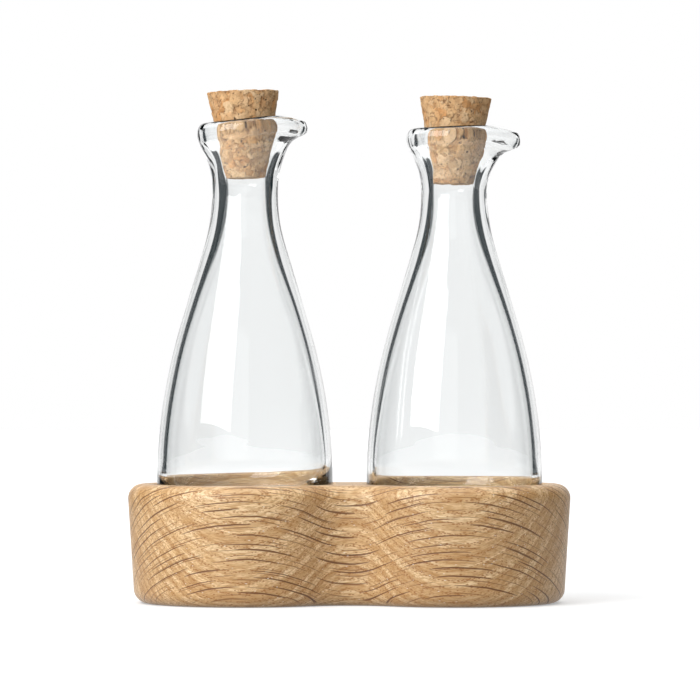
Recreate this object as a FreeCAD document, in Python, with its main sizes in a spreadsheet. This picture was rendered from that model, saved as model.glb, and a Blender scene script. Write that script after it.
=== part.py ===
import FreeCAD, Part
import math
import os

import Sketcher

# Cruet set: a solid oak holder with two round recesses, two thick blown glass bottles
# with a pouring lip each, and a tapered cork stopper in the neck of each bottle.
#
# Frame: millimetres, +Z up. The origin is the centre of the holder's underside, the two
# bottles stand in a row along X, and both pouring lips point towards +X.

# The driving dimensions: alias, value, what it measures. Angles are in degrees.
SIZES = [
    ("lobe_spacing", 88.5, "distance between the two recess axes"),
    ("lobe_radius", 46.1, "outer radius of each round end, at the underside"),
    ("waist_radius", 22.65, "radius of the hollow between the ends, at the underside"),
    ("holder_height", 50.0, "height of the holder"),
    ("holder_draft", 3.6, "how far the side wall leans out towards the top"),
    ("holder_round", 6.0, "rounding of the top and bottom outer edges"),
    ("recess_radius", 38.0, "radius of each recess"),
    ("recess_depth", 20.0, "depth of each recess"),
    ("recess_round", 1.5, "rounding of each recess's upper edge"),
    ("foot_gap", 0.1, "clearance under a standing bottle"),
    ("body_radius", 37.2, "outer radius of a bottle where it is widest"),
    ("body_height", 48.0, "height of the widest ring above the table"),
    ("body_curve", 240.0, "radius of the long outer curve of the body"),
    ("body_wall", 3.6, "glass thickness of the body"),
    ("foot_round", 7.0, "rounding of a bottle's bottom edge"),
    ("neck_radius", 13.8, "outer radius of the neck where it is narrowest"),
    ("neck_height", 172.0, "height of the narrowest ring above the table"),
    ("neck_curve", 75.0, "radius of the hollow outer curve below the neck"),
    ("neck_wall", 5.0, "glass thickness of the neck and the flare"),
    ("flare_height", 173.5, "height where the neck starts to flare"),
    ("flare_curve", 29.0, "radius of the flare's outer curve"),
    ("flare_sweep", 30.0, "angle that the flare turns through below the rim"),
    ("rim_radius", 18.0, "radius of the middle of the rim's bead"),
    ("rim_height", 195.0, "height of the middle of the rim's bead"),
    ("rim_half_width", 2.35, "half the bead's thickness"),
    ("rim_half_height", 4.3, "half the bead's height"),
    ("spout_width", 38.0, "angle from the spout's middle to where it has died down"),
    ("shoulder_width", 55.0, "the same for the raised shoulders beside the spout"),
    ("spout_swell", 0.3, "share of the reach that the throat below the spout takes up"),
    ("spout_thin", 1.8, "how much thinner the glass is at the spout"),
    ("throat_start", 179.0, "height where the throat starts to swell"),
    ("throat_end", 187.0, "height where the throat has swelled fully"),
    ("spout_depth", 5.0, "height over which the spout's underside stands out"),
    ("stopper_height", 36.4, "length of a stopper"),
    ("stopper_top", 15.2, "radius of a stopper's upper end"),
    ("stopper_bottom", 8.3, "radius of a stopper's lower end"),
    ("stopper_round", 0.4, "rounding of a stopper's edges"),
]

# What differs from one hand-made bottle to the other, left and right.
PAIR_SIZES = [
    ("bottle_offset", 0.3, 0.0, "how far the bottle stands off its recess's axis"),
    ("lip_lift", 2.1, 0.0, "how much higher the lip sits"),
    ("lip_tilt", 4.0, 1.5, "slope of the rim, rising towards the spout"),
    ("lip_reach", 5.9, 7.4, "how far the spout is drawn out"),
    ("lip_droop", 5.0, 4.4, "how far the spout's tip is pressed down"),
    ("lip_rise", 3.8, 2.0, "how far the shoulders beside it stand up"),
    ("spout_start", 189.0, 187.5, "height where the spout's underside starts to stand out"),
    ("neck_offset", 0.2, -0.2, "how far the inside of the neck is off the bottle's axis"),
    ("cavity_floor", 38.4, 37.3, "height of the inside floor above the table"),
    ("cavity_round", 15.2, 13.2, "rounding of the inside floor's edge"),
    ("floor_slant", 3.3, 0.0, "slope of the inside floor, rising to the right"),
    ("stopper_base", 178.7, 176.2, "height of the stopper's lower end"),
    ("stopper_shift", 0.35, -0.4, "how far the lower end is off the bottle's axis"),
    ("stopper_lean", -1.8, 1.5, "lean of the stopper, positive towards +X"),
]

SIDES = ("left", "right")
ROUND_POLES = 36  # poles around a blown surface
BEAD_STEP = 30  # degrees between poles around the rim's bead
FLOOR_FADE = 18.0  # height over which the slant of the inside floor dies down above its rounding
BEAD_BLEND = 2.3  # half the width over which the rim's bead goes from outside to inside
NECK_FADE = 45.0  # height over which the inside of the neck drifts off the axis


def make_sheet(doc):
    """Fill the spreadsheet with one aliased number to a row."""
    sheet = doc.addObject("Spreadsheet::Sheet", "Sizes")
    rows = list(SIZES)
    for alias, left, right, note in PAIR_SIZES:
        rows.append(("left_" + alias, left, "left bottle: " + note))
        rows.append(("right_" + alias, right, "right bottle: " + note))
    for number, (alias, value, note) in enumerate(rows, start=1):
        sheet.set("A%d" % number, note)
        sheet.set("B%d" % number, str(value))
        sheet.setAlias("B%d" % number, alias)
    doc.recompute()
    return sheet


def origin_plane(body, role):
    """The body's own origin plane of that role."""
    return next(f for f in body.Origin.OriginFeatures if f.Role == role)


def new_body(doc, label):
    body = doc.addObject("PartDesign::Body", label)
    body.Label = label
    return body


def new_sketch(body, name, height=None):
    """A sketch on the body's XY plane, raised to a sheet height if one is given."""
    sketch = body.newObject("Sketcher::SketchObject", name)
    sketch.AttachmentSupport = [(origin_plane(body, "XY_Plane"), "")]
    sketch.MapMode = "FlatFace"
    if height:
        sketch.setExpression(".AttachmentOffset.Base.z", height)
    return sketch


def bind(sketch, constraint, name, expression):
    """Add a constraint and bind its value to the sheet."""
    number = sketch.addConstraint(constraint)
    sketch.renameConstraint(number, name)
    sketch.setExpression("Constraints." + name, expression)


def draw_outline(sketch, sheet):
    """Two round ends and two hollow flanks, each arc tangent to the next."""
    half = sheet.lobe_spacing / 2
    lobe, waist = sheet.lobe_radius, sheet.waist_radius
    depth = math.sqrt((lobe + waist) ** 2 - half**2)
    turn = math.atan2(depth, half)
    z = FreeCAD.Vector(0, 0, 1)

    def arc(x, y, radius, start, end):
        circle = Part.Circle(FreeCAD.Vector(x, y, 0), z, radius)
        return sketch.addGeometry(Part.ArcOfCircle(circle, start, end), False)

    right = arc(half, 0, lobe, turn - math.pi, math.pi - turn)
    back = arc(0, depth, waist, math.pi + turn, 2 * math.pi - turn)
    left = arc(-half, 0, lobe, turn, 2 * math.pi - turn)
    front = arc(0, -depth, waist, turn, math.pi - turn)
    x_axis, start, end, centre = -1, 1, 2, 3
    for rule in (
        ("Tangent", right, end, back, end),
        ("Tangent", back, start, left, start),
        ("Tangent", left, end, front, end),
        ("Tangent", front, start, right, start),
        ("Equal", right, left),
        ("Equal", back, front),
        ("PointOnObject", right, centre, x_axis),
        ("Symmetric", right, centre, left, centre, x_axis, 1),
    ):
        sketch.addConstraint(Sketcher.Constraint(*rule))
    bind(sketch, Sketcher.Constraint("Radius", right, lobe), "lobe", "Sizes.lobe_radius")
    bind(sketch, Sketcher.Constraint("Radius", back, waist), "waist", "Sizes.waist_radius")
    spread = Sketcher.Constraint("DistanceX", left, centre, right, centre, 2 * half)
    bind(sketch, spread, "spread", "Sizes.lobe_spacing")


def draw_recesses(sketch, sheet):
    """One circle over each bottle's place."""
    half = sheet.lobe_spacing / 2
    for side, x in zip(SIDES, (-half, half)):
        circle = Part.Circle(FreeCAD.Vector(x, 0, 0), FreeCAD.Vector(0, 0, 1), sheet.recess_radius)
        ring = sketch.addGeometry(circle, False)
        sketch.addConstraint(Sketcher.Constraint("PointOnObject", ring, 3, -1))
        radius = Sketcher.Constraint("Radius", ring, sheet.recess_radius)
        bind(sketch, radius, side + "_recess", "Sizes.recess_radius")
        place = Sketcher.Constraint("DistanceX", -1, 1, ring, 3, x)
        sign = "-" if x < 0 else ""
        bind(sketch, place, side + "_place", sign + "Sizes.lobe_spacing / 2")


def edges_where(shape, wanted):
    """Names of the edges for which the test holds, in the form a fillet takes."""
    return ["Edge%d" % n for n, e in enumerate(shape.Edges, start=1) if wanted(e)]


def add_fillet(body, base, names, radius):
    fillet = body.newObject("PartDesign::Fillet", "Fillet")
    fillet.Base = (base, names)
    fillet.setExpression("Radius", radius)
    return fillet


def make_holder(doc, sheet):
    """The oak block: a padded outline that leans out, two recesses, and rounded edges."""
    body = new_body(doc, "holder")
    outline = new_sketch(body, "Outline")
    draw_outline(outline, sheet)
    pad = body.newObject("PartDesign::Pad", "Block")
    pad.Profile = outline
    pad.setExpression("Length", "Sizes.holder_height")
    pad.setExpression("TaperAngle", "Sizes.holder_draft")
    doc.recompute()

    circles = new_sketch(body, "Recesses", "Sizes.holder_height")
    draw_recesses(circles, sheet)
    pocket = body.newObject("PartDesign::Pocket", "BottlePlaces")
    pocket.Profile = circles
    pocket.setExpression("Length", "Sizes.recess_depth")
    pocket.Reversed = False
    doc.recompute()
    removed = pad.Shape.Volume - pocket.Shape.Volume
    wanted = 2 * math.pi * sheet.recess_radius**2 * sheet.recess_depth
    if abs(removed - wanted) > 0.001 * wanted:
        raise RuntimeError("the recesses removed %.0f mm3, not %.0f" % (removed, wanted))

    height = sheet.holder_height

    def flat_at(edge, level):
        return abs(edge.BoundBox.ZMin - level) < 1e-3 and abs(edge.BoundBox.ZMax - level) < 1e-3

    def is_recess(edge):
        curve = edge.Curve
        return hasattr(curve, "Radius") and abs(curve.Radius - sheet.recess_radius) < 1e-3

    outer = edges_where(
        pocket.Shape, lambda e: flat_at(e, 0) or (flat_at(e, height) and not is_recess(e))
    )
    shell = add_fillet(body, pocket, outer, "Sizes.holder_round")
    doc.recompute()
    inner = edges_where(shell.Shape, lambda e: flat_at(e, height) and is_recess(e))
    body.Tip = add_fillet(body, shell, inner, "Sizes.recess_round")
    doc.recompute()
    return body


def arc_points(centre, radius, start, end, count):
    """Points on an arc in the (r, z) half plane, angles in degrees."""
    points = []
    for step in range(count):
        angle = math.radians(start + (end - start) * step / (count - 1))
        points.append((centre[0] + radius * math.cos(angle), centre[1] + radius * math.sin(angle)))
    return points


def wall_line(sheet, inset_body, inset_neck):
    """From the widest ring to the neck: the body's curve, a tangent run, the neck's curve."""
    body_r = sheet.body_curve - inset_body
    neck_r = sheet.neck_curve + inset_neck
    body = (sheet.body_radius - sheet.body_curve, sheet.body_height)
    neck = (sheet.neck_radius + sheet.neck_curve, sheet.neck_height)
    across, up = neck[0] - body[0], neck[1] - body[1]
    tangent = math.degrees(
        math.atan2(up, across) - math.acos((body_r + neck_r) / math.hypot(across, up))
    )
    lower = arc_points(body, body_r, 0, tangent, 8)
    upper = arc_points(neck, neck_r, 180 + tangent, 180, 6)
    run = []
    for part in (0.25, 0.5, 0.75):
        run.append(tuple(a + (b - a) * part for a, b in zip(lower[-1], upper[0])))
    return lower + run + upper


def outside_line(sheet, lift):
    """The outer glass in the (r, z) half plane, from the edge of the foot to the rim's bead."""
    foot = sheet.holder_height - sheet.recess_depth + sheet.foot_gap
    corner = sheet.foot_round
    edge = arc_points((sheet.body_radius - corner, foot + corner), corner, -90, 0, 5)
    flare = (sheet.neck_radius + sheet.flare_curve, sheet.flare_height + lift)
    flared = arc_points(flare, sheet.flare_curve, 180, 180 - sheet.flare_sweep, 5)
    return edge + wall_line(sheet, 0, 0)[1:] + flared


def bead_line(sheet, lift):
    """The rounded rim, over the top. Poles stand out by as much as a cubic cuts the corner."""
    full = (2 + math.cos(math.radians(BEAD_STEP))) / 3
    points = []
    for angle in range(-BEAD_STEP, 181 + BEAD_STEP, BEAD_STEP):
        across = sheet.rim_half_width * math.cos(math.radians(angle)) / full
        up = sheet.rim_half_height * math.sin(math.radians(angle)) / full
        points.append((sheet.rim_radius + across, sheet.rim_height + lift + up))
    return points


def inside_line(sheet, lift, floor, corner):
    """The inner glass in the (r, z) half plane, from the rim's bead to the edge of the floor."""
    flare = (sheet.neck_radius + sheet.flare_curve, sheet.flare_height + lift)
    inner_flare = sheet.flare_curve + sheet.neck_wall
    flared = arc_points(flare, inner_flare, 180 - sheet.flare_sweep, 180, 5)
    wall = [p for p in wall_line(sheet, sheet.body_wall, sheet.neck_wall) if p[1] > floor + corner]
    edge = arc_points((wall[0][0] - corner, floor + corner), corner, 0, -90, 5)
    return flared + wall[::-1] + edge


def smooth_step(value, low, high):
    part = min(max((value - low) / (high - low), 0), 1)
    return part * part * (3 - 2 * part)


def lip_shape(sheet, side):
    """A function that moves a point of the plain round bottle to its place on the drawn lip."""
    def own(name):
        return getattr(sheet, side + "_" + name)

    lift = own("lip_lift")
    tilt = math.tan(math.radians(own("lip_tilt")))
    throat = (sheet.throat_start + lift, sheet.throat_end + lift)
    under = (own("spout_start") + lift, own("spout_start") + lift + sheet.spout_depth)

    def shaped(radius, angle, height, inner):
        x, y = radius * math.cos(angle), radius * math.sin(angle)
        off = math.degrees(abs(math.remainder(angle, 2 * math.pi)))
        narrow = math.exp(-((off / sheet.spout_width) ** 2))
        wide = math.exp(-((off / sheet.shoulder_width) ** 2))
        lower, upper = smooth_step(height, *throat), smooth_step(height, *under)
        amount = sheet.spout_swell * lower + (1 - sheet.spout_swell) * upper
        raised = tilt * (x + sheet.rim_radius) + own("lip_rise") * wide
        return FreeCAD.Vector(
            x + (own("lip_reach") + inner * sheet.spout_thin) * narrow * amount,
            y,
            height + lower * raised - amount * own("lip_droop") * narrow,
        )

    return shaped


def pole_rows(sheet, side):
    """The poles of a bottle's wall, one row for each ring from the foot over the rim to the floor."""
    def own(name):
        return getattr(sheet, side + "_" + name)

    lift, floor, corner = own("lip_lift"), own("cavity_floor"), own("cavity_round")
    slope = math.tan(math.radians(own("floor_slant")))
    shaped = lip_shape(sheet, side)
    full = (2 + math.cos(2 * math.pi / ROUND_POLES)) / 3

    def ring(radius, height, inner, slant=0, aside=0):
        row = []
        for step in range(ROUND_POLES):
            angle = 2 * math.pi * step / ROUND_POLES
            pole = shaped(radius / full, angle, height, inner)
            row.append(pole + FreeCAD.Vector(aside, 0, slant * pole.x))
        return row

    rows = [ring(r, z, 0) for r, z in outside_line(sheet, lift)]
    for r, z in bead_line(sheet, lift):
        rows.append(ring(r, z, smooth_step(sheet.rim_radius - r, -BEAD_BLEND, BEAD_BLEND)))
    below_neck = sheet.neck_height - NECK_FADE
    for r, z in inside_line(sheet, lift, floor, corner):
        slant = slope * (1 - smooth_step(z, floor + corner, floor + corner + FLOOR_FADE))
        neck = smooth_step(z, below_neck, sheet.neck_height)
        throat = 1 - smooth_step(z, sheet.neck_height + lift, sheet.throat_end + lift)
        rows.append(ring(r, z, 1, slant, own("neck_offset") * neck * throat))
    return rows


def make_bottle(doc, sheet, side, x):
    """A blown bottle: one smooth wall from foot to rim to floor, closed by its two flat ends."""
    rows = pole_rows(sheet, side)
    spans = len(rows) - 3
    surface = Part.BSplineSurface()
    surface.buildFromPolesMultsKnots(
        rows,
        [4] + [1] * (spans - 1) + [4],
        [1] * (ROUND_POLES + 1),
        list(range(spans + 1)),
        list(range(ROUND_POLES + 1)),
        False,
        True,
        3,
        3,
    )
    wall = Part.Face(surface)
    rings = [edge for edge in wall.Edges if not edge.isSeam(wall)]
    ends = [Part.Face(Part.Wire([ring])) for ring in rings]
    shell = Part.makeShell([wall] + ends)
    shell.sewShape()
    bottle = doc.addObject("Part::Feature", "bottle_" + side)
    bottle.Label = "bottle_" + side
    bottle.Shape = Part.makeSolid(shell)
    bottle.Placement = FreeCAD.Placement(FreeCAD.Vector(x, 0, 0), FreeCAD.Rotation())
    return bottle


def make_stopper(doc, sheet, side, x):
    """A cork: a cone with slightly rounded edges, leaning a little in the neck."""
    label = "stopper_" + side
    body = new_body(doc, label)
    cone = body.newObject("PartDesign::AdditiveCone", "Cork")
    cone.setExpression("Radius1", "Sizes.stopper_bottom")
    cone.setExpression("Radius2", "Sizes.stopper_top")
    cone.setExpression("Height", "Sizes.stopper_height")
    doc.recompute()
    rings = edges_where(cone.Shape, lambda e: e.isClosed() and hasattr(e.Curve, "Radius"))
    body.Tip = add_fillet(body, cone, rings, "Sizes.stopper_round")
    base = FreeCAD.Vector(
        x + getattr(sheet, side + "_stopper_shift"), 0, getattr(sheet, side + "_stopper_base")
    )
    lean = FreeCAD.Rotation(FreeCAD.Vector(0, 1, 0), getattr(sheet, side + "_stopper_lean"))
    body.Placement = FreeCAD.Placement(base, lean)
    doc.recompute()
    return body


def check_and_write(doc, parts):
    """Stop on any failed object or shape, then write one STEP file for each sub-part."""
    for item in doc.Objects:
        if "Invalid" in item.State or "Error" in item.State:
            raise RuntimeError("%s failed: %s" % (item.Label, item.State))
    for part in parts:
        if part.Shape.isNull() or not part.Shape.isValid() or len(part.Shape.Solids) != 1:
            raise RuntimeError("%s has no valid single solid" % part.Label)
    os.makedirs("parts", exist_ok=True)
    for part in parts:
        part.Shape.exportStep("parts/%s.step" % part.Label)
        box = part.Shape.BoundBox
        print(
            "%-14s %9.0f mm3  x %.1f..%.1f  y %.1f..%.1f  z %.1f..%.1f"
            % (part.Label, part.Shape.Volume, box.XMin, box.XMax, box.YMin, box.YMax,
               box.ZMin, box.ZMax)
        )


def main():
    doc = FreeCAD.newDocument("cruet_set")
    sheet = make_sheet(doc)
    half = sheet.lobe_spacing / 2
    axes = (-half + sheet.left_bottle_offset, half + sheet.right_bottle_offset)
    parts = [make_holder(doc, sheet)]
    for make in (make_bottle, make_stopper):
        for side, x in zip(SIDES, axes):
            parts.append(make(doc, sheet, side, x))
    check_and_write(doc, parts)


main()
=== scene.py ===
import math

import bpy
import numpy as np
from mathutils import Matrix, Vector, kdtree, noise


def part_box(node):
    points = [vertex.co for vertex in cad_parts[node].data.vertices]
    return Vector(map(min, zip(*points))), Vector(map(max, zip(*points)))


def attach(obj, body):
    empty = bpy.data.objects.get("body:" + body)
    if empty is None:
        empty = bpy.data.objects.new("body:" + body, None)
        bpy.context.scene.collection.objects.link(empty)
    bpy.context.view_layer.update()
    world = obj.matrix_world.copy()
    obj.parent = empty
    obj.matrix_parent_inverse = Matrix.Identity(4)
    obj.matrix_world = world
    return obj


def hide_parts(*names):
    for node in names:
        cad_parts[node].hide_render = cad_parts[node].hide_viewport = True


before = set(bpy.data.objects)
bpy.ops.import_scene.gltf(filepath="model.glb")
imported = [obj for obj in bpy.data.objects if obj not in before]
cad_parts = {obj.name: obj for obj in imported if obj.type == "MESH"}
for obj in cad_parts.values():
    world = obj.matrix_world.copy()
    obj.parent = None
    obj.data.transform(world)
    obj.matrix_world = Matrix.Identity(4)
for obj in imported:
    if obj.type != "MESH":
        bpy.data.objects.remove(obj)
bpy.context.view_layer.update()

# Everything below is in metres unless a name says otherwise, in the frame of the CAD model:
# the holder stands on z = 0, the bottles stand in a row along X and their lips point to +X.
MM = 0.001
SEED = 11


# --- where the bottles stand, from the frame -------------------------------------------------

SIDES = ("left", "right")
BOXES = {side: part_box("bottle_" + side) for side in SIDES}
AXIS_X = {side: ((low + high) / 2).x for side, (low, high) in BOXES.items()}
FOOT_Z = {side: low.z for side, (low, _) in BOXES.items()}


def smooth_step(value, low, high):
    """0 below low, 1 above high, and a smooth rise between them."""
    part = min(max((value - low) / (high - low), 0), 1)
    return part * part * (3 - 2 * part)


# --- node trees ------------------------------------------------------------------------------


class Shader:
    """A node tree written as calls. Each input is a number, a tuple or another node's socket."""

    def __init__(self, tree):
        self.tree = tree
        tree.nodes.clear()

    def set(self, socket, value):
        """Link the socket if the value is another node's socket, and fill it in otherwise."""
        if isinstance(value, bpy.types.NodeSocket):
            self.tree.links.new(value, socket)
        else:
            socket.default_value = value

    def make(self, kind, inputs=None, **settings):
        """A node of that kind with its settings and its inputs, by name or number."""
        node = self.tree.nodes.new("ShaderNode" + kind)
        for name, value in settings.items():
            setattr(node, name, value)
        for name, value in (inputs or {}).items():
            self.set(node.inputs[name], value)
        return node

    def math(self, operation, *values, clamp=False):
        node = self.make("Math", operation=operation, use_clamp=clamp)
        for number, value in enumerate(values):
            self.set(node.inputs[number], value)
        return node.outputs[0]

    def vector(self, operation, *values):
        node = self.make("VectorMath", operation=operation)
        for number, value in enumerate(values):
            self.set(node.inputs[number], value)
        return node.outputs["Value" if operation in ("DOT_PRODUCT", "LENGTH") else "Vector"]

    def fade(self, value, low, high, start=0.0, end=1.0):
        """A smooth step of value from low to high, going from start to end."""
        names = {"Value": value, "From Min": low, "From Max": high, "To Min": start, "To Max": end}
        return self.make("MapRange", names, interpolation_type="SMOOTHSTEP").outputs[0]

    def mix(self, share, first, second):
        """A colour that is the first at share 0 and the second at share 1."""
        node = self.make("Mix", data_type="RGBA")
        for number, value in ((0, share), (6, first), (7, second)):
            self.set(node.inputs[number], value)
        return node.outputs[2]

    def noise(self, vector, scale, detail=2.0, roughness=0.5):
        names = {"Vector": vector, "Scale": scale, "Detail": detail, "Roughness": roughness}
        return self.make("TexNoise", names).outputs[0]


def new_material(name):
    material = bpy.data.materials.new(name)
    material.use_nodes = True
    return material, Shader(material.node_tree)


def finish_material(shader, inputs):
    """End the tree with a Principled surface that has these inputs."""
    surface = shader.make("BsdfPrincipled", inputs)
    shader.make("OutputMaterial", {"Surface": surface.outputs[0]})


# --- meshes ----------------------------------------------------------------------------------


def mesh_object(name, vertices, faces, material):
    """A new smooth object. The vertices are in metres."""
    mesh = bpy.data.meshes.new(name)
    mesh.from_pydata([tuple(v) for v in vertices], [], faces)
    mesh.update()
    mesh.shade_smooth()
    mesh.materials.append(material)
    piece = bpy.data.objects.new(name, mesh)
    bpy.context.scene.collection.objects.link(piece)
    return piece


def grid_faces(rows, columns):
    """Quads between rings of a closed grid, each ring with that many columns."""
    faces = []
    for row in range(rows - 1):
        for column in range(columns):
            a = row * columns + column
            b = row * columns + (column + 1) % columns
            faces.append((a, b, b + columns, a + columns))
    return faces


def close_ring(vertices, faces, first, count, upwards):
    """Fill the ring of vertices that starts at first, with rings that shrink to its centre."""
    ring = vertices[first:first + count]
    centre = sum(ring, Vector()) / count
    last = first
    filling = []
    for share in (0.8, 0.5, 0.2):
        start = len(vertices)
        vertices.extend(centre + (vertex - centre) * share for vertex in ring)
        for here in range(count):
            after = (here + 1) % count
            filling.append((last + here, last + after, start + after, start + here))
        last = start
    filling.append(tuple(range(last, last + count)))
    faces.extend(face if upwards else face[::-1] for face in filling)


# --- glass, all sizes in mm ------------------------------------------------------------------

BODY_RADIUS, BODY_HEIGHT, BODY_CURVE, BODY_WALL = 37.2, 48.0, 240.0, 3.6
NECK_RADIUS, NECK_HEIGHT, NECK_CURVE, NECK_WALL = 13.8, 172.0, 75.0, 5.0
FLARE_HEIGHT, FLARE_CURVE, FLARE_SWEEP = 173.5, 29.0, 30.0
RIM_RADIUS, RIM_HEIGHT, RIM_HALF_WIDTH, RIM_HALF_HEIGHT = 18.0, 195.0, 2.35, 4.3
FOOT_ROUND = 7.0
SPOUT_WIDTH, SHOULDER_WIDTH, SPOUT_SWELL, SPOUT_DEPTH = 38.0, 55.0, 0.3, 5.0
THROAT_START, THROAT_END = 179.0, 187.0
SPOUT_THIN, BEAD_BLEND = 1.8, 2.3
FLOOR_FADE, NECK_FADE = 18.0, 45.0
# what differs from one bottle to the other
HAND = {
    "left": dict(lift=2.1, tilt=4.0, reach=5.9, droop=5.0, rise=3.8, under=189.0, neck=0.2,
                 floor=38.4, corner=15.2, slant=3.3),
    "right": dict(lift=0.0, tilt=1.5, reach=7.4, droop=4.4, rise=2.0, under=187.5, neck=-0.2,
                  floor=37.3, corner=13.2, slant=0.0),
}
ROUND_POLES = 96  # poles around a bottle
BEAD_STEP = 30  # degrees between poles around the rim's bead
WAVE_DEPTH, RIPPLE_DEPTH = 0.3, 0.26
GLASS_TINT, GLASS_IOR = (0.985, 0.995, 0.995, 1), 1.5
LAMPS_THROUGH = (0.87, 0.89, 0.89, 1)  # what one glass surface lets through of the lamps' light


def arc_points(centre, radius, start, end, count):
    """Points along an arc, between two angles in degrees."""
    points = []
    for step in range(count):
        angle = math.radians(start + (end - start) * step / (count - 1))
        points.append((centre[0] + radius * math.cos(angle), centre[1] + radius * math.sin(angle)))
    return points


def wall_line(inset_body, inset_neck):
    """The long S of the wall from the widest ring to the neck, moved inwards by the insets."""
    body_r = BODY_CURVE - inset_body
    neck_r = NECK_CURVE + inset_neck
    body = (BODY_RADIUS - BODY_CURVE, BODY_HEIGHT)
    neck = (NECK_RADIUS + NECK_CURVE, NECK_HEIGHT)
    across, up = neck[0] - body[0], neck[1] - body[1]
    reach = math.hypot(across, up)
    tangent = math.degrees(math.atan2(up, across) - math.acos((body_r + neck_r) / reach))
    lower = arc_points(body, body_r, 0, tangent, 8)
    upper = arc_points(neck, neck_r, 180 + tangent, 180, 6)
    run = []
    for part in (0.25, 0.5, 0.75):
        run.append(tuple(a + (b - a) * part for a, b in zip(lower[-1], upper[0])))
    return lower + run + upper


def glass_outline(side):
    """The rings from the foot up to the rim and down to the inside floor, and how many of them
    are outside. Each is (radius, height, how much it is inside, its share of the floor's slant,
    how far it is off the axis).
    """
    hand = HAND[side]
    foot = FOOT_Z[side] / MM
    flare = (NECK_RADIUS + FLARE_CURVE, FLARE_HEIGHT + hand["lift"])
    sweep = 180 - FLARE_SWEEP
    edge = arc_points((BODY_RADIUS - FOOT_ROUND, foot + FOOT_ROUND), FOOT_ROUND, -90, 0, 5)
    outside = edge + wall_line(0, 0)[1:] + arc_points(flare, FLARE_CURVE, 180, sweep, 5)
    rings = [(r, z, 0.0, 0.0, 0.0) for r, z in outside]
    full = (2 + math.cos(math.radians(BEAD_STEP))) / 3
    for angle in range(-BEAD_STEP, 181 + BEAD_STEP, BEAD_STEP):
        turn = math.radians(angle)
        across, up = RIM_HALF_WIDTH * math.cos(turn), RIM_HALF_HEIGHT * math.sin(turn)
        inner = smooth_step(-across / full, -BEAD_BLEND, BEAD_BLEND)
        rings.append((RIM_RADIUS + across / full, RIM_HEIGHT + hand["lift"] + up / full,
                      inner, 0.0, 0.0))
    outside_count = len(rings)

    corner = hand["corner"]
    low = hand["floor"] + corner
    wall = [p for p in wall_line(BODY_WALL, NECK_WALL) if p[1] > low]
    inside = arc_points(flare, FLARE_CURVE + NECK_WALL, sweep, 180, 5) + wall[::-1]
    inside += arc_points((wall[0][0] - corner, low), corner, 0, -90, 5)
    throat = (NECK_HEIGHT + hand["lift"], THROAT_END + hand["lift"])
    for r, z in inside:
        slant = 1 - smooth_step(z, low, low + FLOOR_FADE)
        neck = smooth_step(z, NECK_HEIGHT - NECK_FADE, NECK_HEIGHT) * (1 - smooth_step(z, *throat))
        rings.append((r, z, 1.0, slant, hand["neck"] * neck))
    return rings, outside_count


def glass_wave(x, y, z, outside, side):
    """How far hand-blown glass swells or sinks at a point, in mm: most in the neck and the lip."""
    spot = Vector((x / 8.0, y / 8.0, z / 26.0 + (40.0 if outside else 60.0)))
    if side == "right":
        spot += Vector((9.0, 5.0, 3.0))
    near_lip = smooth_step(z, 165.0, 185.0)
    strength = 0.02 + WAVE_DEPTH * smooth_step(z, 120.0, 185.0)
    return strength * noise.noise(spot) + RIPPLE_DEPTH * near_lip * noise.noise(spot * 2.6)


def make_bottle(side, material):
    """One blown bottle: its rings, pulled out at the lip and made a little wavy."""
    hand = HAND[side]
    rings, outside_count = glass_outline(side)
    tilt = math.tan(math.radians(hand["tilt"]))
    slant = math.tan(math.radians(hand["slant"]))
    # the subdivided surface runs inside its poles by this much
    full = (2 + math.cos(2 * math.pi / ROUND_POLES)) / 3
    vertices = []
    throat = (THROAT_START + hand["lift"], THROAT_END + hand["lift"])
    under = (hand["under"] + hand["lift"], hand["under"] + hand["lift"] + SPOUT_DEPTH)
    for row, (radius, height, inner, share, aside) in enumerate(rings):
        lower, upper = smooth_step(height, *throat), smooth_step(height, *under)
        amount = SPOUT_SWELL * lower + (1 - SPOUT_SWELL) * upper
        for step in range(ROUND_POLES):
            angle = 2 * math.pi * step / ROUND_POLES
            off = math.degrees(abs(math.remainder(angle, 2 * math.pi)))
            narrow = math.exp(-((off / SPOUT_WIDTH) ** 2))
            wide = math.exp(-((off / SHOULDER_WIDTH) ** 2))
            x = radius / full * math.cos(angle)
            y = radius / full * math.sin(angle)
            raised = tilt * (x + RIM_RADIUS) + hand["rise"] * wide
            z = height + lower * raised - amount * hand["droop"] * narrow + share * slant * x
            x += amount * (hand["reach"] + inner * SPOUT_THIN) * narrow + aside
            wave = glass_wave(x, y, z, row < outside_count, side)
            x, y = x + wave * math.cos(angle), y + wave * math.sin(angle)
            vertices.append(Vector((AXIS_X[side] + x * MM, y * MM, z * MM)))
    rows = len(rings)
    faces = grid_faces(rows, ROUND_POLES)
    close_ring(vertices, faces, 0, ROUND_POLES, upwards=False)
    close_ring(vertices, faces, (rows - 1) * ROUND_POLES, ROUND_POLES, upwards=True)
    piece = mesh_object("glass_" + side, vertices, faces, material)
    subdivide = piece.modifiers.new("smooth", "SUBSURF")
    subdivide.levels = subdivide.render_levels = 1
    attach(piece, "bottle_" + side)
    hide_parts("bottle_" + side)


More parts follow.
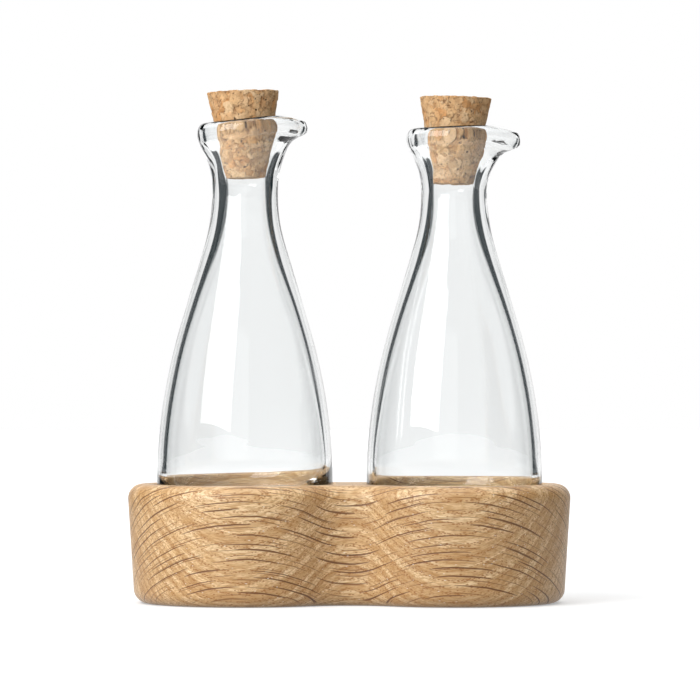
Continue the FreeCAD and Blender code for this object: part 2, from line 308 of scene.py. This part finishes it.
def glass_material():
    material, shader = new_material("blown_glass")
    place = shader.make("TexCoord").outputs["Object"]
    waves = shader.noise(place, 28.0, 1.0, 0.4)
    bump = shader.make("Bump", {"Strength": 0.06, "Distance": 0.002, "Height": waves})
    glass = shader.make("BsdfPrincipled", {
        "Base Color": GLASS_TINT,
        "Roughness": 0.0,
        "IOR": GLASS_IOR,
        "Transmission Weight": 1.0,
        "Normal": bump.outputs[0],
    })
    # light from the lamps passes straight through, so that it reaches the cork and the recesses
    lamp = shader.make("LightPath").outputs["Is Shadow Ray"]
    clear = shader.make("BsdfTransparent", {"Color": LAMPS_THROUGH})
    both = shader.make("MixShader", {0: lamp, 1: glass.outputs[0], 2: clear.outputs[0]})
    shader.make("OutputMaterial", {"Surface": both.outputs[0]})
    return material


# --- oak -------------------------------------------------------------------------------------

# The board's grain runs along X. Its growth rings and its rays lean in the YZ plane.
RING_LEAN = 0.6
RING_WIDTH = 2.7
OAK = dict(
    pale=(0.93, 0.70, 0.42, 1),
    honey=(0.81, 0.55, 0.285, 1),
    tan=(0.46, 0.225, 0.065, 1),
    pore=(0.36, 0.145, 0.035, 1),
    # painted glint: the white of the small light spots
    painted_glint=(0.95, 0.88, 0.76, 1),
    small_ray=(0.38, 0.20, 0.08, 1),
    medium_ray=(0.24, 0.10, 0.03, 1),
    bold_ray=(0.15, 0.055, 0.016, 1),
)


def ray_dashes(shader, x, t, spacing, length, thickness, seed):
    """Long thin rays in rows across t, laid end to end along x, all in mm: 1 inside a ray."""
    rows = shader.math("DIVIDE", t, spacing)
    row = shader.math("FLOOR", rows)
    across = shader.math("SUBTRACT", shader.math("SUBTRACT", rows, row), 0.5)
    row_seed = shader.make("CombineXYZ", {"X": row, "Y": seed})
    shift = shader.make("TexWhiteNoise", {"Vector": row_seed.outputs[0]}).outputs["Value"]
    runs = shader.math("ADD", shader.math("DIVIDE", x, length), shader.math("MULTIPLY", shift, 9.0))
    run = shader.math("FLOOR", runs)
    along = shader.math("SUBTRACT", shader.math("SUBTRACT", runs, run), 0.5)
    cell = shader.make("CombineXYZ", {"X": row, "Y": run, "Z": seed})
    chance = shader.make("TexWhiteNoise", {"Vector": cell.outputs[0]})
    pick = shader.make("SeparateColor", {"Color": chance.outputs["Color"]}).outputs
    centre = shader.math("MULTIPLY_ADD", pick[0], 0.5, -0.25)
    middle = shader.math("MULTIPLY_ADD", pick[1], 0.16, -0.08)
    half = shader.math("MULTIPLY_ADD", pick[2], 0.2, 0.2)
    part = shader.math("DIVIDE", shader.math("SUBTRACT", along, middle), half)
    lens = shader.math("SUBTRACT", 1.0, shader.math("MULTIPLY", part, part), clamp=True)
    bold = shader.math("MULTIPLY_ADD", chance.outputs["Value"], 0.5, 0.65)
    taper = shader.math("POWER", lens, 0.5)
    reach = shader.math("MULTIPLY", shader.math("MULTIPLY", taper, bold), thickness)
    off = shader.math("ABSOLUTE", shader.math("SUBTRACT", across, centre))
    gap = shader.math("SUBTRACT", shader.math("MULTIPLY", off, spacing), reach)
    inside = shader.fade(gap, -0.1, 0.08, 1.0, 0.0)
    return shader.math("MULTIPLY", inside, shader.fade(lens, 0.0, 0.12))


def oak_material():
    """Quarter-sawn oak: growth rings, fibres, pores in the early wood, and dark rays."""
    material, shader = new_material("oak")
    place, normal = (shader.make("TexCoord").outputs[name] for name in ("Object", "Normal"))
    in_mm = shader.vector("MULTIPLY", place, (1 / MM, 1 / MM, 1 / MM))
    x, y, z = shader.make("SeparateXYZ", {"Vector": in_mm}).outputs
    size = math.hypot(1, RING_LEAN)
    slow = shader.noise(place, 22.0, 1.0)
    drift = shader.math("MULTIPLY_ADD", slow, 3.0, -1.5)
    # t counts across the rays, r across the growth rings
    t = shader.math("DIVIDE", shader.math("MULTIPLY_ADD", y, RING_LEAN, z), size)
    r = shader.math("DIVIDE", shader.math("MULTIPLY_ADD", z, -RING_LEAN, y), size)
    ripple = shader.noise(place, 90.0, 1.0)
    bent = shader.math("ADD", t, shader.math("MULTIPLY_ADD", ripple, 0.8, -0.4))
    bold = ray_dashes(shader, x, bent, spacing=2.9, length=37.0, thickness=0.27, seed=1.0)
    medium = ray_dashes(shader, x, bent, spacing=2.2, length=24.0, thickness=0.17, seed=2.0)
    small = ray_dashes(shader, x, bent, spacing=1.1, length=9.0, thickness=0.09, seed=3.0)
    # a surface that lies along the rays would show them as broad stains
    level = shader.vector("DOT_PRODUCT", normal, (0, RING_LEAN / size, 1 / size))
    crossing = shader.fade(shader.math("ABSOLUTE", level), 0.86, 0.96, 1.0, 0.0)
    bold, medium = (shader.math("MULTIPLY", dash, crossing) for dash in (bold, medium))

    turned = shader.math("ADD", r, drift)
    rings = shader.math("DIVIDE", turned, RING_WIDTH)
    season = shader.math("FRACT", rings)
    early = shader.fade(season, 0.0, 0.5, 1.0, 0.0)
    year = shader.make("TexWhiteNoise", {"W": shader.math("FLOOR", rings)},
                       noise_dimensions="1D").outputs["Value"]

    def stretched(along, across, over):
        """The board's own coordinates, each squeezed or stretched by a factor."""
        parts = {"X": shader.math("MULTIPLY", x, along), "Y": shader.math("MULTIPLY", t, across),
                 "Z": shader.math("MULTIPLY", turned, over)}
        return shader.make("CombineXYZ", parts).outputs[0]

    fibre = shader.noise(stretched(0.16, 1.0, 1.0), 1.9, 2.0, 0.6)
    streak = shader.noise(stretched(0.11, 1.0, 1.0), 0.35, 2.0, 0.5)
    bands = shader.noise(stretched(0.01, 0.05, 1.0), 0.42, 2.0, 0.5)
    stripes = shader.noise(stretched(0.06, 0.25, 1.0), 2.2, 2.0, 0.6)
    vessels = shader.make("TexVoronoi", {"Vector": stretched(0.4, 1.0, 1.0), "Scale": 1.75})
    hole = shader.fade(vessels.outputs["Distance"], 0.34, 0.5, 1.0, 0.0)
    luck = shader.make("SeparateColor", {"Color": vessels.outputs["Color"]}).outputs
    rows = shader.fade(season, 0.1, 0.4, 1.0, 0.0)
    open_pore = shader.math("LESS_THAN", luck[0], shader.math("ADD", rows, 0.13))
    pore = shader.math("MULTIPLY", hole, open_pore)
    # painted glints: rare small white spots, a little more often in the early wood
    glint_cells = shader.make("TexVoronoi", {"Vector": stretched(0.3, 1.0, 1.0), "Scale": 1.7})
    glint_luck = shader.make("SeparateColor", {"Color": glint_cells.outputs["Color"]}).outputs[1]
    rare = shader.math("MULTIPLY_ADD", early, -0.05, 0.985)
    glint_spot = shader.math("MULTIPLY", shader.math("GREATER_THAN", glint_luck, rare),
                        shader.fade(glint_cells.outputs["Distance"], 0.15, 0.35, 1.0, 0.0))

    colour = shader.mix(shader.fade(streak, 0.25, 0.75), OAK["honey"], OAK["pale"])
    for share in (shader.fade(bands, 0.44, 0.6, 0.0, 0.5), shader.math("MULTIPLY", year, 0.25),
                  shader.math("MULTIPLY", early, 0.2), shader.fade(stripes, 0.46, 0.6, 0.0, 0.55),
                  shader.fade(fibre, 0.48, 0.62, 0.0, 0.55)):
        colour = shader.mix(share, colour, OAK["tan"])
    for mark, share, tone in ((small, 0.4, "small_ray"), (pore, 0.85, "pore"),
                              (medium, 0.8, "medium_ray"), (bold, 0.95, "bold_ray"),
                              (glint_spot, 0.85, "painted_glint")):
        colour = shader.mix(shader.math("MULTIPLY", mark, share), colour, OAK[tone])

    sunk = shader.math("ADD", shader.math("MULTIPLY", pore, 0.8), bold)
    height = shader.math("MULTIPLY_ADD", fibre, 0.5, shader.math("MULTIPLY", sunk, -1.0))
    bump = shader.make("Bump", {"Strength": 0.35, "Distance": 0.0002, "Height": height})
    gloss = shader.math("MULTIPLY_ADD", fibre, 0.16, 0.32)
    finish_material(shader, {"Base Color": colour, "Roughness": gloss,
                             "Specular IOR Level": 0.5, "Normal": bump.outputs[0]})
    return material


def make_holder(material):
    """The block keeps its CAD shape."""
    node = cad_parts["holder"]
    node.data.materials.clear()
    node.data.materials.append(material)


# --- cork ------------------------------------------------------------------------------------

STOPPER_HEIGHT, STOPPER_TOP, STOPPER_BOTTOM, STOPPER_ROUND = 36.4, 15.2, 8.3, 0.4
STOPPERS = {
    "left": dict(base=178.7, shift=0.35, lean=-1.8),
    "right": dict(base=176.2, shift=-0.4, lean=1.5),
}
CORK_COLUMNS, CORK_STEP = 260, 0.34
GRAIN_SIZE, CHIP_SIZE = 3.3, 1.5
CHANCES = 9999  # random tones and tilts that the granules draw from
CORK = dict(
    sand=(0.76, 0.46, 0.225, 1),
    orange=(0.72, 0.36, 0.14, 1),
    pale=(0.86, 0.62, 0.38, 1),
    chip=(0.53, 0.30, 0.13, 1),
    # painted shade for the sunken side of each tilted granule
    shade=(0.38, 0.18, 0.065, 1),
    soft=(0.84, 0.60, 0.34, 1),
    fine=(0.30, 0.15, 0.06, 1),
    # painted shade for the fine cracks between chips, the crevices between granules and the pits
    small=(0.28, 0.14, 0.055, 1),
    crevice=(0.12, 0.05, 0.02, 1),
    pit=(0.05, 0.02, 0.01, 1),
    # black for the painted shade on the plug, most on the part in the neck
    painted_shade=(0, 0, 0, 1),
)


def stopper_profile():
    """(radius, height, normal across, normal up) from the lower centre round to the upper one."""
    slope = math.atan2(STOPPER_TOP - STOPPER_BOTTOM, STOPPER_HEIGHT)
    turn = STOPPER_ROUND

    def disc(rim, height, up):
        """A flat end, from its centre outwards."""
        count = int(rim / CORK_STEP)
        return [(step * CORK_STEP + 0.01, height, 0.0, up) for step in range(count)]

    outline = disc(STOPPER_BOTTOM - turn, 0.0, -1.0)
    for angle in range(-90, 1, 30):
        across, up = math.cos(math.radians(angle)), math.sin(math.radians(angle))
        outline.append((STOPPER_BOTTOM - turn * (1 - across), turn * (1 + up), across, up))
    steps = int(STOPPER_HEIGHT / CORK_STEP)
    for step in range(1, steps):
        height = turn + (STOPPER_HEIGHT - 2 * turn) * step / steps
        radius = STOPPER_BOTTOM + (STOPPER_TOP - STOPPER_BOTTOM) * height / STOPPER_HEIGHT
        outline.append((radius, height, math.cos(slope), -math.sin(slope)))
    for angle in range(0, 91, 30):
        across, up = math.cos(math.radians(angle)), math.sin(math.radians(angle))
        outline.append((STOPPER_TOP - turn * (1 - across), STOPPER_HEIGHT - turn * (1 - up),
                        across, up))
    upper = disc(STOPPER_TOP - turn, STOPPER_HEIGHT, 1.0)
    return np.array(outline + upper[::-1])


def smooth_waves(points, size, seed, count=24):
    """A smooth wavy value between about -1 and 1 at each point, made of plane waves."""
    chance = np.random.default_rng(seed)
    total = np.zeros(len(points))
    for _ in range(count):
        way = chance.normal(size=3)
        way *= 2 * math.pi / (size * np.linalg.norm(way) * chance.uniform(0.7, 1.6))
        total += np.sin(points @ way + chance.uniform(0, 2 * math.pi))
    return total / math.sqrt(count / 2) / 1.5


def cork_grains(points, seed, spacing):
    """Irregular granules: how far each point is inside its own, its number, and where it lies."""
    chance = np.random.default_rng(seed)
    warp = [smooth_waves(points, 4.0, seed + 10 + k) for k in range(3)]
    fine = [smooth_waves(points, 1.3, seed + 20 + k) for k in range(3)]
    bent = points + spacing * (0.2 * np.stack(warp, 1) + 0.07 * np.stack(fine, 1))
    low, high = points.min(0) - spacing, points.max(0) + spacing
    centres = chance.uniform(low, high, (int(np.prod(high - low) / spacing**3), 3))
    tree = kdtree.KDTree(len(centres))
    for number, centre in enumerate(centres):
        tree.insert(centre, number)
    tree.balance()
    near = [tree.find_n(point, 2) for point in bent]
    number = np.array([pair[0][1] for pair in near])
    edge = np.array([pair[1][2] - pair[0][2] for pair in near])
    return edge, number, bent - centres[number]


def make_stopper(side, material):
    """One stopper: a tapered plug of pressed granules with crevices and pits between them."""
    hand = STOPPERS[side]
    seed = SEED if side == "left" else SEED + 100
    outline = stopper_profile()
    angles = np.arange(CORK_COLUMNS) * 2 * math.pi / CORK_COLUMNS
    radius, height, across, up = (outline[:, k, None] for k in range(4))
    cos, sin = np.cos(angles)[None], np.sin(angles)[None]
    points = np.stack([radius * cos, radius * sin, height + 0 * cos], 2).reshape(-1, 3)
    normals = np.stack([across * cos, across * sin, up + 0 * cos], 2).reshape(-1, 3)

    edge, number, inside = cork_grains(points, seed, GRAIN_SIZE)
    chip_edge, chip, _ = cork_grains(points, seed + 50, CHIP_SIZE)
    chance = np.random.default_rng(seed + 90)
    tones, tilts = chance.uniform(0, 1, CHANCES), chance.normal(size=(CHANCES, 3))
    tilts /= np.linalg.norm(tilts, axis=1)[:, None]
    flake = np.clip((inside * tilts[number]).sum(1), -2, 2)
    crevice = np.exp(-((edge / 0.16) ** 2)) * (0.2 + 0.8 * tones[(number * 7) % CHANCES])
    small = np.exp(-((chip_edge / 0.12) ** 2))
    rough = smooth_waves(points, 0.9, seed + 60)
    holes = smooth_waves(points, 2.2, seed + 70, 40) + 0.7 * rough
    pit = np.clip((holes - 1.7) / 0.2, 0, 1)
    # in mm, outwards from the smooth plug
    depth = 0.11 * flake - 0.24 * crevice - 0.05 * small - 0.4 * pit + 0.03 * rough
    points = points + normals * (depth - 0.08)[:, None]

    lean = math.radians(hand["lean"])
    x = points[:, 0] * math.cos(lean) + points[:, 2] * math.sin(lean)
    z = points[:, 2] * math.cos(lean) - points[:, 0] * math.sin(lean)
    x = AXIS_X[side] + (x + hand["shift"]) * MM
    vertices = np.stack([x, points[:, 1] * MM, (z + hand["base"]) * MM], 1)

    rows = len(outline)
    faces = grid_faces(rows, CORK_COLUMNS)
    faces.append(tuple(range(CORK_COLUMNS))[::-1])
    faces.append(tuple((rows - 1) * CORK_COLUMNS + k for k in range(CORK_COLUMNS)))
    piece = mesh_object("cork_" + side, vertices.tolist(), faces, material)
    # crevice, small and pit also paint shade in the cork material, and flake paints it on each
    # granule's sunken side
    for name, values in (("tone", tones[number]), ("hue", tones[(number * 3 + 5) % CHANCES]),
                         ("chip", tones[(chip * 5 + 1) % CHANCES]), ("crevice", crevice),
                         ("small", small), ("pit", pit), ("flake", flake / 4 + 0.5)):
        layer = piece.data.attributes.new(name, "FLOAT", "POINT")
        layer.data.foreach_set("value", values.astype(np.float32))
    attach(piece, "stopper_" + side)
    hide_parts("stopper_" + side)


def cork_material():
    """Pressed cork. The mesh holds how each point lies in its granule; this gives it colours and
    painted shade.
    """
    material, shader = new_material("cork")

    def layer(name):
        return shader.make("Attribute", attribute_name=name).outputs["Fac"]

    place = shader.make("TexCoord").outputs["Object"]
    fine = shader.noise(place, 900.0, 3.0, 0.65)
    soft = shader.noise(place, 260.0, 2.0, 0.6)
    level = shader.make("SeparateXYZ", {"Vector": place}).outputs[2]
    colour = shader.mix(shader.fade(layer("hue"), 0.4, 0.8), CORK["sand"], CORK["orange"])
    for share, tone in (
        (shader.fade(layer("tone"), 0.4, 1.0, 0.0, 0.75), "pale"),
        (shader.math("MULTIPLY", layer("chip"), 0.3), "chip"),
        # painted shade on the sunken side of each tilted granule
        (shader.fade(layer("flake"), 0.6, 0.15, 0.0, 0.5), "shade"),
        (shader.fade(soft, 0.35, 0.7, 0.0, 0.35), "soft"),
        (shader.fade(fine, 0.55, 0.8, 0.0, 0.5), "fine"),
        # painted shade in the fine cracks, the crevices and the pits, which the mesh also sinks
        (shader.math("MULTIPLY", layer("small"), 0.3), "small"),
        (shader.math("MULTIPLY", layer("crevice"), 0.9), "crevice"),
        (layer("pit"), "pit"),
        # painted shade: the plug is darkened a little all over, and more towards the bottom, where
        # it sits in the neck
        (shader.fade(level, 0.188, 0.203, 0.15, 0.04), "painted_shade"),
    ):
        colour = shader.mix(share, colour, CORK[tone])
    bump = shader.make("Bump", {"Strength": 0.5, "Distance": 0.0002, "Height": fine})
    finish_material(shader, {"Base Color": colour, "Roughness": 0.85,
                             "Specular IOR Level": 0.25, "Normal": bump.outputs[0]})
    return material


# --- the studio ------------------------------------------------------------------------------

CAMERA_DISTANCE, CAMERA_HEIGHT, CAMERA_LENS = 1.9, 0.100, 232.0
AIM = Vector((0.0003, 0.0, 0.1063))
# where the backdrop ends and black flags begin and end, in degrees from straight behind
BACKDROP_LEFT, BACKDROP_RIGHT, FLAG_EDGE = 35.0, 38.0, 7.0
FLAG_END = (72.0, 85.0)
OVERHEAD_START = (0.75, 0.88)  # how steeply up the light from above starts
HORIZON_HEIGHT, HORIZON_SHARE = 0.3, 0.7  # how high and how bright mirrored rays see the room
CLOTH_START = (0.40, 0.50)  # how far out the black cloth on the floor starts
SEEN_WHITE, BACKDROP, OVERHEAD = (1.0, 1.0, 1.0, 1), (0.94, 0.94, 0.94, 1), (1.75, 1.75, 1.75, 1)
BRIGHT_ROOM, DIM_ROOM = (0.75, 0.75, 0.75, 1), (0.10, 0.11, 0.12, 1)
FLAG_BLACK, CLOTH_BLACK = (0.012, 0.022, 0.026, 1), (0.03, 0.04, 0.045, 1)
FLOOR_GREY, FLOOR_SEEN = (0.5, 0.5, 0.5, 1), (0.7, 0.7, 0.7, 1)
# painted light: how strongly the floor glows, for the light it sends on and for the camera near and
# far
FLOOR_GLOW, FLOOR_GLOW_NEAR, FLOOR_GLOW_FAR = 0.6, 0.4, 0.62
FLOOR_GLOW_REACH = (0.3, 0.7)  # where the glow that the camera sees goes from near to far
FLOOR_HALF, FLOOR_LEVEL = 5.0, -0.00005


def make_camera():
    camera = bpy.data.objects.new("camera", bpy.data.cameras.new("camera"))
    camera.data.lens = CAMERA_LENS
    camera.data.sensor_width = 36.0
    camera.location = (AIM.x, -CAMERA_DISTANCE, CAMERA_HEIGHT)
    camera.rotation_euler = (AIM - camera.location).to_track_quat("-Z", "Y").to_euler()
    bpy.context.scene.collection.objects.link(camera)
    bpy.context.scene.camera = camera


def soft_light(name, azimuth, distance, height, width, tall, radiance):
    """A softbox facing the object. Azimuth 0 is beside the camera, positive to the right."""
    lamp = bpy.data.lights.new(name, "AREA")
    lamp.shape = "RECTANGLE"
    lamp.size, lamp.size_y = width, tall
    lamp.energy = radiance * math.pi * width * tall
    light = bpy.data.objects.new(name, lamp)
    turn = math.radians(azimuth)
    light.location = (distance * math.sin(turn), -distance * math.cos(turn), height)
    target = Vector((0, 0, 0.1))
    light.rotation_euler = (target - light.location).to_track_quat("-Z", "Y").to_euler()
    light.visible_camera = False
    bpy.context.scene.collection.objects.link(light)


def bearing(shader, x, y):
    """Degrees from straight behind the object, negative to the camera's left."""
    return shader.math("MULTIPLY", shader.math("ARCTAN2", x, y), 180 / math.pi)


def flagged(shader, angle):
    """1 where a black flag stands: on both sides of the lit backdrop, but not in front."""
    left = shader.fade(angle, -BACKDROP_LEFT, FLAG_EDGE - BACKDROP_LEFT, 1.0, 0.0)
    right = shader.fade(angle, BACKDROP_RIGHT - FLAG_EDGE, BACKDROP_RIGHT)
    front = shader.fade(shader.math("ABSOLUTE", angle), *FLAG_END, 1.0, 0.0)
    return shader.math("MULTIPLY", shader.math("MAXIMUM", left, right), front)


def make_world():
    """A white backdrop and light from above, black flags beside the backdrop, and a room."""
    world = bpy.data.worlds.new("studio")
    bpy.context.scene.world = world
    world.use_nodes = True
    shader = Shader(world.node_tree)
    way = shader.make("TexCoord").outputs["Generated"]
    x, y, z = shader.make("SeparateXYZ", {"Vector": way}).outputs
    angle = bearing(shader, x, y)

    # the room is bright to a ray that only passed through glass, and near the horizon to one
    # that was mirrored, and dim to all others
    path = shader.make("LightPath").outputs
    bounced = shader.math("ADD", path["Diffuse Depth"], path["Glossy Depth"])
    through = shader.math("SUBTRACT", path["Is Transmission Ray"], bounced, clamp=True)
    mirrored = shader.math("SUBTRACT", path["Glossy Depth"], path["Diffuse Depth"], clamp=True)
    low = shader.math("MULTIPLY", mirrored, shader.fade(z, 0.0, HORIZON_HEIGHT, HORIZON_SHARE, 0.0))
    room = shader.mix(shader.math("MAXIMUM", through, low), DIM_ROOM, BRIGHT_ROOM)

    in_front = shader.fade(shader.math("ABSOLUTE", angle), *FLAG_END)
    colour = shader.mix(in_front, BACKDROP, room)
    colour = shader.mix(flagged(shader, angle), colour, FLAG_BLACK)
    colour = shader.mix(shader.fade(z, *OVERHEAD_START), colour, OVERHEAD)
    colour = shader.mix(path["Is Camera Ray"], colour, SEEN_WHITE)
    background = shader.make("Background", {"Color": colour, "Strength": 1.0})
    shader.make("OutputWorld", {"Surface": background.outputs[0]})


def make_floor():
    """A pale sweep that glows though it is no lamp. Black cloth under the flags is there for
    mirrored rays.
    """
    material, shader = new_material("floor")
    place = shader.make("TexCoord").outputs["Object"]
    x, y, _ = shader.make("SeparateXYZ", {"Vector": place}).outputs
    reach = shader.vector("LENGTH", place)
    path = shader.make("LightPath").outputs
    seen = path["Is Camera Ray"]
    scattered = shader.math("MINIMUM", path["Diffuse Depth"], 1.0)
    mirrored = shader.math("MINIMUM", path["Glossy Depth"], 1.0)

    cloth = shader.math("MULTIPLY", flagged(shader, bearing(shader, x, y)),
                        shader.fade(reach, *CLOTH_START))
    lit = shader.math("SUBTRACT", 1.0, shader.math("MULTIPLY", cloth, mirrored))
    plain = shader.math("MAXIMUM", seen, scattered)
    colour = shader.mix(shader.math("MAXIMUM", plain, lit), CLOTH_BLACK, FLOOR_GREY)
    colour = shader.mix(seen, colour, FLOOR_SEEN)
    # painted light: the floor glows and so lights the object from below
    glow = shader.math("MULTIPLY", lit, shader.math("SUBTRACT", FLOOR_GLOW, scattered), clamp=True)
    # painted shade: the camera sees less glow near the object, which darkens its shadows there
    near = shader.fade(reach, *FLOOR_GLOW_REACH, FLOOR_GLOW_NEAR, FLOOR_GLOW_FAR)
    glow = shader.mix(seen, glow, near)
    finish_material(shader, {"Base Color": colour, "Roughness": 0.9, "Specular IOR Level": 0.1,
                             "Emission Color": (1, 1, 1, 1), "Emission Strength": glow})
    corners = [(across * FLOOR_HALF, along * FLOOR_HALF, FLOOR_LEVEL)
               for across, along in ((-1, -1), (1, -1), (1, 1), (-1, 1))]
    floor = mesh_object("floor", corners, [(0, 1, 2, 3)], material)


def make_studio():
    scene = bpy.context.scene
    scene.view_settings.view_transform = "Standard"
    make_camera()
    make_world()
    make_floor()
    soft_light("key", azimuth=-42.0, distance=0.85, height=0.55, width=0.75, tall=0.65,
               radiance=5.4)
    soft_light("fill", azimuth=-12.0, distance=1.6, height=0.6, width=1.0, tall=0.9,
               radiance=0.5)


make_studio()
glass = glass_material()
for side in SIDES:
    make_bottle(side, glass)
make_holder(oak_material())
cork = cork_material()
for side in SIDES:
    make_stopper(side, cork)
